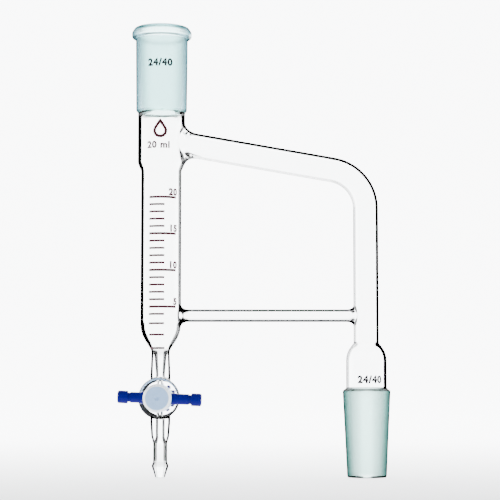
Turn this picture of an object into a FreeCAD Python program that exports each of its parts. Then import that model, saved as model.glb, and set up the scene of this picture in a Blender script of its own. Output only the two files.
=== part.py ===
import FreeCAD, Part
import math
import os

# Light-oil distilling trap (a Clevenger-type receiver) in borosilicate glass.
# A graduated receiver stands on the left, with a ground socket for a condenser on top and a
# stopcock under it. A sloping vapour arm joins it to a down-tube with a ground cone for the
# boiling flask, and a thin return tube joins the two low down.
# Millimetres, +Z up. The origin is on the axis of the flask cone, at its lower end.
# The handle side of the stopcock faces -Y.

# overall layout
axis_spacing = 103.3          # receiver axis to down-tube axis
arm_slope = 10.0              # degrees, falling towards the down-tube
return_height = 80.7          # height of the return tube's axis
stopcock_height = 39.4        # height of the stopcock's axis
rim_height = 227.0            # top of the condenser socket
arm_drop = 57.1               # from the rim to the arm's centre line on the receiver axis

# ground joints, taper 1:10 on diameter, 24 mm at the large end
joint_large_radius = 12.0
joint_taper = 1.0 / 20.0      # radius lost for each mm of length
joint_length = 42.0
joint_lead = 1.0              # clear glass beyond the ground zone

# condenser socket
socket_top_radius = 13.2
socket_bottom_radius = 12.8
bead_radius = 15.15
bead_height = 4.8
socket_foot = 1.0             # plain length of neck tube below the socket's step

# receiver
neck_radius = 11.9
neck_wall = 1.35
neck_length = 26.0            # from the socket's foot to the shoulder
shoulder_length = 4.0
shoulder_skirt = 2.0          # graduated-tube size below the shoulder, up to the seal
receiver_radius = 10.2
receiver_wall = 1.0
base_seal_rise = 9.3          # seal above the return tube's axis
base_knee_drop = 8.5          # cone starts this far below the return tube's axis
base_knee_round = 15.0
base_half_angle = 32.0
base_stem_round = 5.0
base_skirt = 4.5              # length of stem below the cone, down to the seal

# stems and drip tip
stem_top_radius = 4.5
stem_radius = 5.0             # at the stopcock
stem_bore_top = 2.1
stem_bore = 1.5
barrel_stub = 3.2             # stem length that comes with the barrel
drip_radius = 3.5
drip_bore = 2.4
drip_seal = 17.0
drip_neck_rise = 3.4          # lower stem narrows to the drip tube over this length
drip_bead_radius = 4.15
drip_bead_height = 5.8
drip_mouth_radius = 1.5
drip_end_radius = 2.4

# vapour arm, bend and down-tube
arm_radius = 6.3
arm_wall = 1.2
bend_radius = 20.0
arm_stub = 7.0                # arm length that comes with the neck, beyond its wall
arm_weld = 3.0

# return tube
return_radius = 3.15
return_wall = 1.1
port_stub = 4.0
return_weld = 1.0

# flask cone
shank_radius = 10.15
shank_wall = 1.45
cone_mouth_radius = 8.0
shank_seal_rise = 5.7         # seal above the cone's large end
shoulder_knee_rise = 17.5     # lower edge of the shoulder above the cone's large end
shank_shoulder = 6.4
shank_shoulder_round = 4.0
tube_seal_rise = 3.7          # seal above the shoulder
lip_round = 0.5

# stopcock barrel
barrel_radius = 9.0
barrel_front = 14.0           # front face from the stem's axis
barrel_back = 13.0
flange_radius = 10.25
flange_width = 2.6
barrel_weld = 1.2
key_taper = 1.0 / 10.0        # radius lost for each mm, a 1:5 taper
key_front_radius = 6.6        # plug radius at the barrel's front face
key_clearance = 0.05

# plug
head_radius = 6.9
head_gap = 1.2
head_length = 15.6
head_chamfer = 1.0
dimple_radius = 1.3
dimple_depth = 0.5
key_setback = 0.6             # the taper stops this far inside the barrel
thread_step = 0.71            # the threaded end is this much smaller than the key's small end
thread_length = 15.1
thread_chamfer = 0.6
flat_depth = 0.65
rest_tilt = 2.3               # degrees, the handle's right end hangs a little low

# handle
handle_half_length = 20.6
handle_shift = 0.9            # the bar sits this far to the right in the head
handle_radius = 2.65
handle_flare_radius = 3.1
handle_flare_length = 2.6
handle_flare_gap = 0.1
knob_radius = 3.15
knob_length = 5.1
knob_round = 1.0
groove_radius = 2.3
groove_width = 1.2

# tension set behind the barrel
tension_gap = 0.1
washer_radius = 6.6
washer_thickness = 1.5
washer_clearance = 0.05
oring_section = 1.25
oring_inner_gap = 0.3
oring_squeeze = 0.1           # taken off each side of the ring where it is pressed flat
nut_gap = 0.05
nut_radius = 7.4
nut_thickness = 7.4
nut_clearance = 0.05
nut_chamfer = 0.8
nut_flutes = 12
nut_flute_radius = 1.1

ORIGIN = FreeCAD.Vector(0, 0, 0)
UP = FreeCAD.Vector(0, 0, 1)
REACH = 2.0                   # how far a cutting solid runs past what it cuts


def turned(points):
    """A solid turned about Z from (radius, height) points. Its seam faces -Y."""
    outline = [FreeCAD.Vector(0, -radius, height) for radius, height in points]
    face = Part.Face(Part.makePolygon(outline + outline[:1]))
    return face.revolve(ORIGIN, UP, 360)


def rounded(shape, rings):
    """Rounds the circular edges given as (radius, height, fillet)."""
    for radius, height, fillet in rings:
        edges = [
            edge for edge in shape.Edges
            if isinstance(edge.Curve, Part.Circle)
            and abs(edge.Curve.Radius - radius) < 1e-4
            and abs(edge.Curve.Center.z - height) < 1e-4
        ]
        shape = shape.makeFillet(fillet, edges)
    return shape


def welded(body, branch, fillet):
    """Joins a branch to a body and rounds the line where their curved walls meet."""
    joined = body.fuse(branch)
    seam = [
        edge for edge in joined.Edges
        if not isinstance(edge.Curve, (Part.Circle, Part.Line))
    ]
    return joined.makeFillet(fillet, seam)


def along(start, end, radius, run_past=0.0):
    """A round bar from one point to another, longer by run_past at both ends."""
    direction = (end - start).normalize()
    start = start - direction * run_past
    return Part.makeCylinder(radius, (end - start).Length + run_past, start, direction)


def pipe(start, end, radius, wall):
    """A straight tube from one point to another."""
    return along(start, end, radius).cut(along(start, end, radius - wall, REACH))


def across(shape):
    """Turns a solid made about Z so that its +Z end faces +Y, on the stopcock's axis."""
    shape = shape.copy()
    shape.rotate(ORIGIN, FreeCAD.Vector(1, 0, 0), -90)
    shape.translate(FreeCAD.Vector(-axis_spacing, 0, stopcock_height))
    return shape


def tilted(shape):
    """Turns a solid about the stopcock's axis to the handle's rest angle."""
    centre = FreeCAD.Vector(-axis_spacing, 0, stopcock_height)
    shape = shape.copy()
    shape.rotate(centre, FreeCAD.Vector(0, 1, 0), rest_tilt)
    return shape


def on_receiver(shape):
    """Moves a solid made about Z onto the receiver's axis."""
    shape = shape.copy()
    shape.translate(FreeCAD.Vector(-axis_spacing, 0, 0))
    return shape


def receiver_point(x, z):
    """A point in the apparatus's plane, x from the receiver's axis."""
    return FreeCAD.Vector(x - axis_spacing, 0, z)


# heights of the arm and of the seals between the blanks
arm_height = rim_height - arm_drop
socket_bottom = rim_height - joint_lead - joint_length
socket_seal = socket_bottom - socket_foot
shoulder_top = socket_seal - neck_length + socket_foot
shoulder_bottom = shoulder_top - shoulder_length
neck_seal = shoulder_bottom - shoulder_skirt
base_seal = return_height + base_seal_rise
base_knee = return_height - base_knee_drop
slope = math.tan(math.radians(base_half_angle))
base_end = base_knee - (receiver_radius - stem_top_radius) / slope
base_foot = base_end - base_skirt
barrel_top = stopcock_height + barrel_radius + barrel_stub
barrel_bottom = stopcock_height - barrel_radius - barrel_stub
cone_large_end = joint_lead + joint_length
shank_seal = cone_large_end + shank_seal_rise
shoulder_low = cone_large_end + shoulder_knee_rise
shoulder_high = shoulder_low + shank_shoulder
tube_seal = shoulder_high + tube_seal_rise

# the plug's small end, its thread and its flats
key_end = barrel_back - key_setback
key_back_radius = key_front_radius - (barrel_front + key_end) * key_taper
thread_radius = key_back_radius - thread_step
flat_half_width = thread_radius - flat_depth

# the arm's centre line
rise = math.tan(math.radians(arm_slope))
turn = 90.0 - arm_slope
bend_tangent = bend_radius * math.tan(math.radians(turn / 2))
bend_bottom = arm_height - axis_spacing * rise - bend_tangent
arm_direction = FreeCAD.Vector(
    math.cos(math.radians(arm_slope)), 0, -math.sin(math.radians(arm_slope))
)
arm_start = receiver_point(0, arm_height)
arm_seal = arm_start + arm_direction * (neck_radius + arm_stub)
bend_top = FreeCAD.Vector(0, 0, bend_bottom + bend_tangent) - arm_direction * bend_tangent


def make_socket():
    """Outer joint: a tube ground inside to a taper, with a rolled bead at its mouth."""
    bead_low = rim_height - bead_height
    outer = turned([
        (0, socket_seal),
        (neck_radius, socket_seal),
        (neck_radius, socket_bottom),
        (socket_bottom_radius, socket_bottom + 0.6),
        (socket_top_radius, bead_low - 0.8),
        (bead_radius, bead_low + 0.3),
        (bead_radius, bead_low + 2.3),
        (bead_radius - 1.9, rim_height),
        (0, rim_height),
    ])
    outer = rounded(outer, [
        (bead_radius, bead_low + 0.3, 0.8),
        (bead_radius, bead_low + 2.3, 1.0),
        (bead_radius - 1.9, rim_height, 0.7),
    ])
    small_end = joint_large_radius - joint_length * joint_taper
    inner = turned([
        (0, socket_seal - REACH),
        (neck_radius - neck_wall, socket_seal - REACH),
        (neck_radius - neck_wall, socket_seal),
        (small_end, socket_bottom),
        (joint_large_radius, rim_height - joint_lead),
        (joint_large_radius + 0.5, rim_height),
        (joint_large_radius + 0.5, rim_height + REACH),
        (0, rim_height + REACH),
    ])
    return on_receiver(outer.cut(inner))


def make_neck():
    """The wide neck with its shoulder, and the stub that the vapour arm is sealed to."""
    def shell(wall, run_past):
        shoulder = 1.5 + wall
        narrow = receiver_radius - min(wall, receiver_wall)
        wide = neck_radius - wall
        solid = turned([
            (0, neck_seal - run_past),
            (narrow, neck_seal - run_past),
            (narrow, shoulder_bottom),
            (wide, shoulder_top),
            (wide, socket_seal + run_past),
            (0, socket_seal + run_past),
        ])
        return on_receiver(rounded(solid, [
            (narrow, shoulder_bottom, shoulder),
            (wide, shoulder_top, shoulder),
        ]))

    low_wall = arm_height - neck_radius * rise - arm_radius / math.cos(math.radians(arm_slope))
    weld = min(arm_weld, low_wall - shoulder_top - 0.4)
    outer = welded(shell(0, 0), along(arm_start, arm_seal, arm_radius), weld)
    inner = shell(neck_wall, REACH)
    bore = along(arm_start, arm_seal + arm_direction * REACH, arm_radius - arm_wall)
    return outer.cut(inner).cut(bore)


def make_graduated_tube():
    """The straight tube that carries the volume marks."""
    low = receiver_point(0, base_seal)
    high = receiver_point(0, neck_seal)
    return pipe(low, high, receiver_radius, receiver_wall)


def make_base():
    """The receiver's drawn-down foot, with the port of the return tube."""
    cone = math.radians(base_half_angle)
    inner_knee = base_knee + receiver_wall * math.tan(cone / 2)
    inner_end = inner_knee - (receiver_radius - receiver_wall - stem_bore_top) / slope
    outer = turned([
        (0, base_foot),
        (stem_top_radius, base_foot),
        (stem_top_radius, base_end),
        (receiver_radius, base_knee),
        (receiver_radius, base_seal),
        (0, base_seal),
    ])
    outer = rounded(outer, [
        (receiver_radius, base_knee, base_knee_round),
        (stem_top_radius, base_end, base_stem_round),
    ])
    inner = turned([
        (0, base_foot - REACH),
        (stem_bore_top, base_foot - REACH),
        (stem_bore_top, inner_end),
        (receiver_radius - receiver_wall, inner_knee),
        (receiver_radius - receiver_wall, base_seal + REACH),
        (0, base_seal + REACH),
    ])
    inner = rounded(inner, [
        (receiver_radius - receiver_wall, inner_knee, base_knee_round - receiver_wall),
        (stem_bore_top, inner_end, base_stem_round),
    ])
    port = receiver_point(0, return_height)
    port_end = receiver_point(receiver_radius + port_stub, return_height)
    knee_tangent = base_knee_round * math.tan(cone / 2)
    room = return_height - return_radius - base_knee - knee_tangent
    weld = min(return_weld, room - 0.1)
    outer = welded(on_receiver(outer), along(port, port_end, return_radius), weld)
    bore = along(port, port_end + FreeCAD.Vector(REACH, 0, 0), return_radius - return_wall)
    return outer.cut(on_receiver(inner)).cut(bore)


def make_upper_stem():
    """Thick-walled stem from the receiver's foot to the stopcock."""
    outer = turned([
        (0, barrel_top), (stem_radius, barrel_top), (stem_top_radius, base_foot), (0, base_foot),
    ])
    bore = turned([
        (0, barrel_top - REACH), (stem_bore, barrel_top - REACH), (stem_bore, barrel_top),
        (stem_bore_top, base_foot), (stem_bore_top, base_foot + REACH), (0, base_foot + REACH),
    ])
    return on_receiver(outer.cut(bore))


def make_barrel():
    """Stopcock barrel: a stout tube across the stem, bored to a taper, with a front flange."""
    body = turned([
        (0, -barrel_front),
        (flange_radius, -barrel_front),
        (flange_radius, flange_width - barrel_front),
        (barrel_radius, flange_width - barrel_front + 1.2),
        (barrel_radius, barrel_back),
        (0, barrel_back),
    ])
    body = rounded(body, [
        (flange_radius, -barrel_front, 0.9),
        (flange_radius, flange_width - barrel_front, 0.7),
        (barrel_radius, barrel_back, 0.7),
    ])
    low = receiver_point(0, barrel_bottom)
    high = receiver_point(0, barrel_top)
    outer = welded(across(body), along(low, high, stem_radius), barrel_weld)
    bore_front = key_front_radius + key_clearance
    length = barrel_front + barrel_back
    key_bore = turned([
        (0, -barrel_front - REACH),
        (bore_front + REACH * key_taper, -barrel_front - REACH),
        (bore_front - (length + REACH) * key_taper, barrel_back + REACH),
        (0, barrel_back + REACH),
    ])
    return outer.cut(across(key_bore)).cut(along(low, high, stem_bore, REACH))


def make_lower_stem():
    """Thick-walled stem under the stopcock, narrowing to the drip tube."""
    narrow = drip_seal + drip_neck_rise
    outer = turned([
        (0, drip_seal), (drip_radius, drip_seal), (stem_radius - 0.5, narrow),
        (stem_radius, barrel_bottom), (0, barrel_bottom),
    ])
    outer = rounded(outer, [(stem_radius - 0.5, narrow, 1.5)])
    bore = turned([
        (0, drip_seal - REACH), (drip_bore, drip_seal - REACH), (drip_bore, drip_seal),
        (stem_bore, narrow), (stem_bore, barrel_bottom + REACH), (0, barrel_bottom + REACH),
    ])
    return on_receiver(outer.cut(bore))


def make_drip_tip():
    """Thin outlet tube that ends in a rounded drip bead."""
    outer = turned([
        (0, 0),
        (drip_end_radius, 0),
        (drip_radius - 0.2, drip_bead_height / 2),
        (drip_bead_radius, drip_bead_height - 0.6),
        (drip_bead_radius, drip_bead_height + 0.4),
        (drip_radius, drip_bead_height + 1.6),
        (drip_radius, drip_seal),
        (0, drip_seal),
    ])
    outer = rounded(outer, [
        (drip_bead_radius, drip_bead_height - 0.6, 0.4),
        (drip_bead_radius, drip_bead_height + 0.4, 0.4),
        (drip_end_radius, 0, 0.3),
    ])
    bore = turned([
        (0, -REACH), (drip_mouth_radius, -REACH), (drip_mouth_radius, 0.6),
        (drip_bore, drip_bead_height), (drip_bore, drip_seal + REACH), (0, drip_seal + REACH),
    ])
    return on_receiver(outer.cut(bore))


def make_bend():
    """Smooth bend from the sloping arm down into the down-tube."""
    ring = Part.Face(Part.Wire(Part.makeCircle(arm_radius, FreeCAD.Vector(0, 0, bend_bottom))))
    hole = Part.Face(
        Part.Wire(Part.makeCircle(arm_radius - arm_wall, FreeCAD.Vector(0, 0, bend_bottom)))
    )
    centre = FreeCAD.Vector(-bend_radius, 0, bend_bottom)
    return ring.cut(hole).Faces[0].revolve(centre, FreeCAD.Vector(0, 1, 0), -turn)


def make_down_tube():
    """Vertical vapour tube with the other port of the return tube."""
    low = FreeCAD.Vector(0, 0, tube_seal)
    high = FreeCAD.Vector(0, 0, bend_bottom)
    port = FreeCAD.Vector(0, 0, return_height)
    port_end = FreeCAD.Vector(-arm_radius - port_stub, 0, return_height)
    outer = welded(along(low, high, arm_radius), along(port, port_end, return_radius), return_weld)
    inner = along(low, high, arm_radius - arm_wall, REACH)
    bore = along(port, port_end - FreeCAD.Vector(REACH, 0, 0), return_radius - return_wall)
    return outer.cut(inner).cut(bore)


def make_cone_shoulder():
    """Shoulder that widens the down-tube to the cone's shank."""
    def shell(wall_top, wall_bottom, run_past):
        half_angle = math.atan((shank_radius - arm_radius) / shank_shoulder)
        lift = wall_bottom * math.tan(half_angle / 2)
        solid = turned([
            (0, shank_seal - run_past),
            (shank_radius - wall_bottom, shank_seal - run_past),
            (shank_radius - wall_bottom, shoulder_low - lift),
            (arm_radius - wall_top, shoulder_high - lift),
            (arm_radius - wall_top, tube_seal + run_past),
            (0, tube_seal + run_past),
        ])
        return rounded(solid, [
            (shank_radius - wall_bottom, shoulder_low - lift, shank_shoulder_round),
            (arm_radius - wall_top, shoulder_high - lift, shank_shoulder_round),
        ])

    return shell(0, 0, 0).cut(shell(arm_wall, shank_wall, REACH))


def make_flask_cone():
    """Inner joint: a hollow cone ground outside to a taper, with a fire-polished end."""
    small_end = joint_large_radius - joint_length * joint_taper
    outer = turned([
        (0, 0),
        (small_end - 0.15, 0),
        (small_end, joint_lead),
        (joint_large_radius, cone_large_end),
        (shank_radius, cone_large_end + 1.3),
        (shank_radius, shank_seal),
        (0, shank_seal),
    ])
    outer = rounded(outer, [
        (small_end - 0.15, 0, lip_round),
        (joint_large_radius, cone_large_end, 0.4),
    ])
    inner = turned([
        (0, -REACH),
        (cone_mouth_radius, -REACH),
        (cone_mouth_radius, joint_lead),
        (shank_radius - shank_wall, cone_large_end),
        (shank_radius - shank_wall, shank_seal + REACH),
        (0, shank_seal + REACH),
    ])
    return rounded(outer.cut(inner), [(cone_mouth_radius, 0, lip_round)])


def make_plug():
    """PTFE plug: a grip head, a tapered key with a cross bore, and a threaded end with flats."""
    head_back = -barrel_front - head_gap
    body = turned([
        (0, head_back - head_length),
        (head_radius - head_chamfer, head_back - head_length),
        (head_radius, head_back - head_length + head_chamfer),
        (head_radius, head_back),
        (key_front_radius + head_gap * key_taper, head_back),
        (key_back_radius, key_end),
        (thread_radius, key_end),
        (thread_radius, key_end + thread_length - thread_chamfer),
        (thread_radius - thread_chamfer, key_end + thread_length),
        (0, key_end + thread_length),
    ])
    dimple = Part.makeCone(
        dimple_radius, dimple_radius / 2, dimple_depth,
        FreeCAD.Vector(0, 0, head_back - head_length),
    )
    body = body.cut(dimple)
    for side in (-1, 1):
        near = flat_half_width if side > 0 else -flat_half_width - thread_radius
        flat = Part.makeBox(
            thread_radius, 2 * thread_radius, thread_length + REACH,
            FreeCAD.Vector(near, -thread_radius, key_end),
        )
        body = body.cut(flat)
    body = across(body)
    reach = FreeCAD.Vector(head_radius + REACH, 0, 0)
    key_centre = receiver_point(0, stopcock_height)
    body = body.cut(along(key_centre - reach, key_centre + reach, stem_bore))
    head_centre = FreeCAD.Vector(-axis_spacing, handle_depth(), stopcock_height)
    body = body.cut(along(head_centre - reach, head_centre + reach, handle_radius))
    return tilted(body)


def handle_depth():
    """Where the handle crosses the plug's head, on Y."""
    return -barrel_front - head_gap - head_length / 2


def handle_side(length):
    """Outline of one side of the handle's bar, from the plug's head out to its end."""
    flare = head_radius + handle_flare_gap
    knob = length - knob_length
    return [
        (handle_radius, flare),
        (handle_flare_radius, flare),
        (handle_radius, flare + handle_flare_length),
        (handle_radius, knob - groove_width),
        (groove_radius, knob - groove_width),
        (groove_radius, knob),
        (knob_radius, knob),
        (knob_radius, length),
        (0, length),
    ]


def make_handle():
    """Blue bar pushed through the plug's head, with a grooved knob at each end."""
    left = handle_half_length - handle_shift
    right = handle_half_length + handle_shift
    mirrored = [(radius, -height) for radius, height in reversed(handle_side(left))]
    bar = turned(mirrored + handle_side(right))
    bar = rounded(bar, [
        (knob_radius, right, knob_round),
        (knob_radius, -left, knob_round),
    ])
    bar.rotate(ORIGIN, FreeCAD.Vector(0, 1, 0), 90)
    bar.translate(FreeCAD.Vector(-axis_spacing, handle_depth(), stopcock_height))
    return tilted(bar)


def make_washer():
    """PTFE washer keyed to the flats of the plug's threaded end."""
    start = barrel_back + tension_gap
    disc = Part.makeCylinder(washer_radius, washer_thickness, FreeCAD.Vector(0, 0, start))
    hole_radius = thread_radius + washer_clearance
    half = flat_half_width + washer_clearance
    hole = Part.makeCylinder(
        hole_radius, washer_thickness + 2 * REACH, FreeCAD.Vector(0, 0, start - REACH)
    )
    keyed = Part.makeBox(
        2 * half, 2 * hole_radius, washer_thickness + 2 * REACH,
        FreeCAD.Vector(-half, -hole_radius, start - REACH),
    )
    return tilted(across(disc.cut(hole.common(keyed))))


def make_oring():
    """Rubber ring pressed between the washer and the nut."""
    start = barrel_back + tension_gap + washer_thickness
    mean_radius = thread_radius + oring_inner_gap + oring_section
    thickness = 2 * (oring_section - oring_squeeze)
    ring = Part.makeTorus(
        mean_radius, oring_section, FreeCAD.Vector(0, 0, start + thickness / 2)
    )
    slab = Part.makeCylinder(
        mean_radius + 2 * oring_section, thickness, FreeCAD.Vector(0, 0, start)
    )
    return across(ring.common(slab))


def make_nut():
    """Blue fluted nut that draws the plug into the barrel."""
    squeezed = 2 * (oring_section - oring_squeeze)
    start = barrel_back + tension_gap + washer_thickness + squeezed + nut_gap
    end = start + nut_thickness
    body = turned([
        (0, start),
        (nut_radius - nut_chamfer, start),
        (nut_radius, start + nut_chamfer),
        (nut_radius, end - nut_chamfer),
        (nut_radius - nut_chamfer, end),
        (0, end),
    ])
    bore = Part.makeCylinder(
        thread_radius + nut_clearance, nut_thickness + 2 * REACH,
        FreeCAD.Vector(0, 0, start - REACH),
    )
    body = body.cut(bore)
    for step in range(nut_flutes):
        angle = 2 * math.pi * step / nut_flutes
        spot = FreeCAD.Vector(
            (nut_radius + nut_flute_radius / 2) * math.cos(angle),
            (nut_radius + nut_flute_radius / 2) * math.sin(angle),
            start + 2 * nut_chamfer,
        )
        body = body.cut(Part.makeCylinder(nut_flute_radius, nut_thickness, spot))
    return across(body)


nodes = {
    "condenser_socket": make_socket(),
    "receiver_neck": make_neck(),
    "graduated_tube": make_graduated_tube(),
    "receiver_base": make_base(),
    "upper_stem": make_upper_stem(),
    "stopcock_barrel": make_barrel(),
    "lower_stem": make_lower_stem(),
    "drip_tip": make_drip_tip(),
    "vapour_arm": pipe(arm_seal, bend_top, arm_radius, arm_wall),
    "vapour_bend": make_bend(),
    "down_tube": make_down_tube(),
    "cone_shoulder": make_cone_shoulder(),
    "flask_cone": make_flask_cone(),
    "return_tube": pipe(
        receiver_point(receiver_radius + port_stub, return_height),
        FreeCAD.Vector(-arm_radius - port_stub, 0, return_height),
        return_radius, return_wall,
    ),
    "stopcock_plug": make_plug(),
    "plug_handle": make_handle(),
    "tension_washer": make_washer(),
    "tension_oring": make_oring(),
    "tension_nut": make_nut(),
}

os.makedirs("parts", exist_ok=True)
for name, shape in nodes.items():
    shape.exportStep(f"parts/{name}.step")
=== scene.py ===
import math

import bmesh
import bpy
from mathutils import Matrix, Vector


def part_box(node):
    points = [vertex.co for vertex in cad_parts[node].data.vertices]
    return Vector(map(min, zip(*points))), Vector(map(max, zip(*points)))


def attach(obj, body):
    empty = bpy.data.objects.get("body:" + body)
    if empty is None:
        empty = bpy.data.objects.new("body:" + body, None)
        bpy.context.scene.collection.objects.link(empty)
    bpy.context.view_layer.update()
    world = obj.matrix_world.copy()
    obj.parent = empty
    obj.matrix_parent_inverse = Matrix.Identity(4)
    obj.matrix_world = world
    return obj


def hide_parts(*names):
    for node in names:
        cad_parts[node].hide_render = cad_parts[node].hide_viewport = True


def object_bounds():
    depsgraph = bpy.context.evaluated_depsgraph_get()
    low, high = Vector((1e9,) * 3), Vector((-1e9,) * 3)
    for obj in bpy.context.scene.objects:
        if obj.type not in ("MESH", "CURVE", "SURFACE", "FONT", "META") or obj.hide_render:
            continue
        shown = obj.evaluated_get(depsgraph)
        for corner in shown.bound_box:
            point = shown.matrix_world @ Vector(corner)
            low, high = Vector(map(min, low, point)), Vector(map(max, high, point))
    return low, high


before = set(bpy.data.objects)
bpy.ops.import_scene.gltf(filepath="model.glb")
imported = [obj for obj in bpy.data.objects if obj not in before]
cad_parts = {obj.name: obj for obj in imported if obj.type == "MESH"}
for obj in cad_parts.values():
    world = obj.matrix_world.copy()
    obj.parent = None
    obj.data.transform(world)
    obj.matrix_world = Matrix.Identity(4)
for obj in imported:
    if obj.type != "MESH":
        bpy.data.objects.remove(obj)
cad_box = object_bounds()


# The room: a round white cove that is pale from every side, with soft boxes hung over it.
# It is a turned sheet, flat under the trap and swept up into a wall, and it glows like a lamp, dim
# at the front and bright towards the back.
def room():
    flat, sweep, wall, sweep_steps = 1.7, 1.2, 2.4, 12
    outline = [Vector((radius, 0, 0)) for radius in (0.0, 0.25, 0.5, 0.9, 1.3, flat)]
    for step in range(1, sweep_steps + 1):
        angle = math.pi / 2 * step / sweep_steps
        outline.append(Vector((flat + sweep * math.sin(angle), 0, sweep * (1 - math.cos(angle)))))
    outline.append(Vector((flat + sweep, 0, wall)))
    bm = bmesh.new()
    verts = [bm.verts.new(point) for point in outline]
    edges = [bm.edges.new(pair) for pair in zip(verts, verts[1:])]
    bmesh.ops.spin(
        bm, geom=verts + edges, axis=(0, 0, 1), cent=(0, 0, 0),
        angle=2 * math.pi, steps=96, use_merge=True,
    )
    bmesh.ops.remove_doubles(bm, verts=bm.verts, dist=1e-5)
    bmesh.ops.recalc_face_normals(bm, faces=bm.faces)
    mesh = bpy.data.meshes.new("cove")
    bm.to_mesh(mesh)
    bm.free()
    mesh.polygons.foreach_set("use_smooth", [True] * len(mesh.polygons))
    cove_glow_material = bpy.data.materials.new("cove_glow")
    cove_glow_material.use_nodes = True
    shader = cove_glow_material.node_tree.nodes["Principled BSDF"]
    shader.inputs["Base Color"].default_value = (0.35, 0.355, 0.36, 1)
    shader.inputs["Roughness"].default_value = 0.9
    shader.inputs["Specular IOR Level"].default_value = 0.1
    place = cove_glow_material.node_tree.nodes.new("ShaderNodeTexCoord")
    axes = cove_glow_material.node_tree.nodes.new("ShaderNodeSeparateXYZ")
    # The cove glows: its emission rises from the front to the back and lights the trap.
    glow = cove_glow_material.node_tree.nodes.new("ShaderNodeMapRange")
    glow.interpolation_type = "SMOOTHSTEP"
    glow.inputs["From Min"].default_value = -0.5
    glow.inputs["From Max"].default_value = 0.7
    glow.inputs["To Min"].default_value = 0.45
    glow.inputs["To Max"].default_value = 8.0
    cove_glow_material.node_tree.links.new(place.outputs["Object"], axes.inputs["Vector"])
    cove_glow_material.node_tree.links.new(axes.outputs["Y"], glow.inputs["Value"])
    cove_glow_material.node_tree.links.new(glow.outputs["Result"], shader.inputs["Emission Strength"])
    shader.inputs["Emission Color"].default_value = (0.98, 0.99, 1, 1)
    mesh.materials.append(cove_glow_material)
    cove = bpy.data.objects.new("cove", mesh)
    below_the_trap = 0.0002
    cove.location = (cad_box[0].x / 2, 0, cad_box[0].z - below_the_trap)
    bpy.context.scene.collection.objects.link(cove)

    world = bpy.data.worlds.new("studio_air")
    world.use_nodes = True
    background = world.node_tree.nodes["Background"]
    background.inputs["Color"].default_value = (0.95, 0.97, 1.0, 1)
    background.inputs["Strength"].default_value = 1.0
    bpy.context.scene.world = world

    middle = (Vector(cad_box[0]) + Vector(cad_box[1])) / 2
    for name, spot, size, power in (
        ("key_box", Vector((-0.9, -1.1, 1.3)), 0.9, 9),
        ("fill_box", Vector((1.2, -0.8, 1.0)), 1.1, 5),
        ("back_box", Vector((0.1, 1.3, 1.4)), 1.4, 20),
    ):
        lamp = bpy.data.lights.new(name, "AREA")
        lamp.shape = "SQUARE"
        lamp.size = size
        lamp.energy = power
        holder = bpy.data.objects.new(name, lamp)
        holder.location = spot
        holder.rotation_euler = (middle - spot).to_track_quat("-Z", "Y").to_euler()
        bpy.context.scene.collection.objects.link(holder)


room()


# The camera stands low, near the stopcock's height, and looks up a little, square to the plane
# of the trap. Its frame is 251 mm wide at the trap.
def camera():
    width, distance, eye_height, centre_x, centre_z = 0.2513, 0.8, 0.043, -0.0584, 0.1138
    lens = bpy.data.cameras.new("camera")
    lens.sensor_width = 36
    lens.lens = 36 * distance / width
    lens.shift_y = 0.04
    lens.clip_start = 0.01
    eye = bpy.data.objects.new("camera", lens)
    eye.location = (centre_x, -distance, eye_height)
    aim = Vector((centre_x, 0, centre_z - lens.shift_y * width))
    eye.rotation_euler = (aim - eye.location).to_track_quat("-Z", "Y").to_euler()
    bpy.context.scene.collection.objects.link(eye)
    bpy.context.scene.camera = eye


camera()


# The glass is one lamp-worked piece of borosilicate. It is built here as turned skins in
# millimetres, with ports opened in them where a tube is welded on, and sleeves between the ports.
def span(node):
    """Lowest and highest corner of a CAD node, in millimetres."""
    low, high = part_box(node)
    return low * 1000, high * 1000


def rounded_outline(corners, run, closed=False):
    """Points along (radius, height, rounding) corners, with arcs at the corners."""
    points = []
    for index, (radius, height, rounding) in enumerate(corners):
        here = Vector((radius, height))
        if rounding == 0:
            points.append(here)
            continue
        before = (Vector(corners[index - 1][:2]) - here).normalized()
        after = (Vector(corners[(index + 1) % len(corners)][:2]) - here).normalized()
        half = before.angle(after) / 2
        centre = here + (before + after).normalized() * rounding / math.sin(half)
        start = here + before * rounding / math.tan(half) - centre
        end = here + after * rounding / math.tan(half) - centre
        turn = start.angle(end)
        steps = max(3, math.ceil(turn / math.radians(11)))
        for step in range(steps + 1):
            share = step / steps
            near = math.sin((1 - share) * turn) / math.sin(turn)
            far = math.sin(share * turn) / math.sin(turn)
            points.append(centre + start * near + end * far)
    if closed:
        points.append(points[0])
    filled = points[:1]
    for before, after in zip(points, points[1:]):
        steps = max(1, math.ceil((after - before).length / run - 1e-6))
        filled += [before.lerp(after, step / steps) for step in range(1, steps + 1)]
    return filled


def weld_grid(bm, rings, closed=False, first=None, last=None):
    """A skin through rings of points, closed round its columns. It is welded to the rings of
    vertices given for its ends, or end to end, and its rings of vertices are returned."""
    around = len(rings[0])
    made = bmesh.ops.create_grid(bm, x_segments=around, y_segments=len(rings) - 1, size=1)["verts"]
    rows = [made[row * (around + 1):(row + 1) * (around + 1)] for row in range(len(rings))]
    for ring, row in zip(rings, rows):
        for column, vert in enumerate(row):
            vert.co = ring[column % around]
    target = {row[around]: row[0] for row in rows}
    rows = [row[:around] for row in rows]
    ends = [(0, first), (-1, rows[0] if closed else last)]
    for index, onto in ends:
        if onto is None:
            continue
        for vert, kept in zip(rows[index], onto):
            target[vert] = kept
        for vert, kept in target.items():
            target[vert] = target.get(kept, kept)
        rows[index] = list(onto)
    bmesh.ops.weld_verts(bm, targetmap=target)
    return rows


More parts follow.
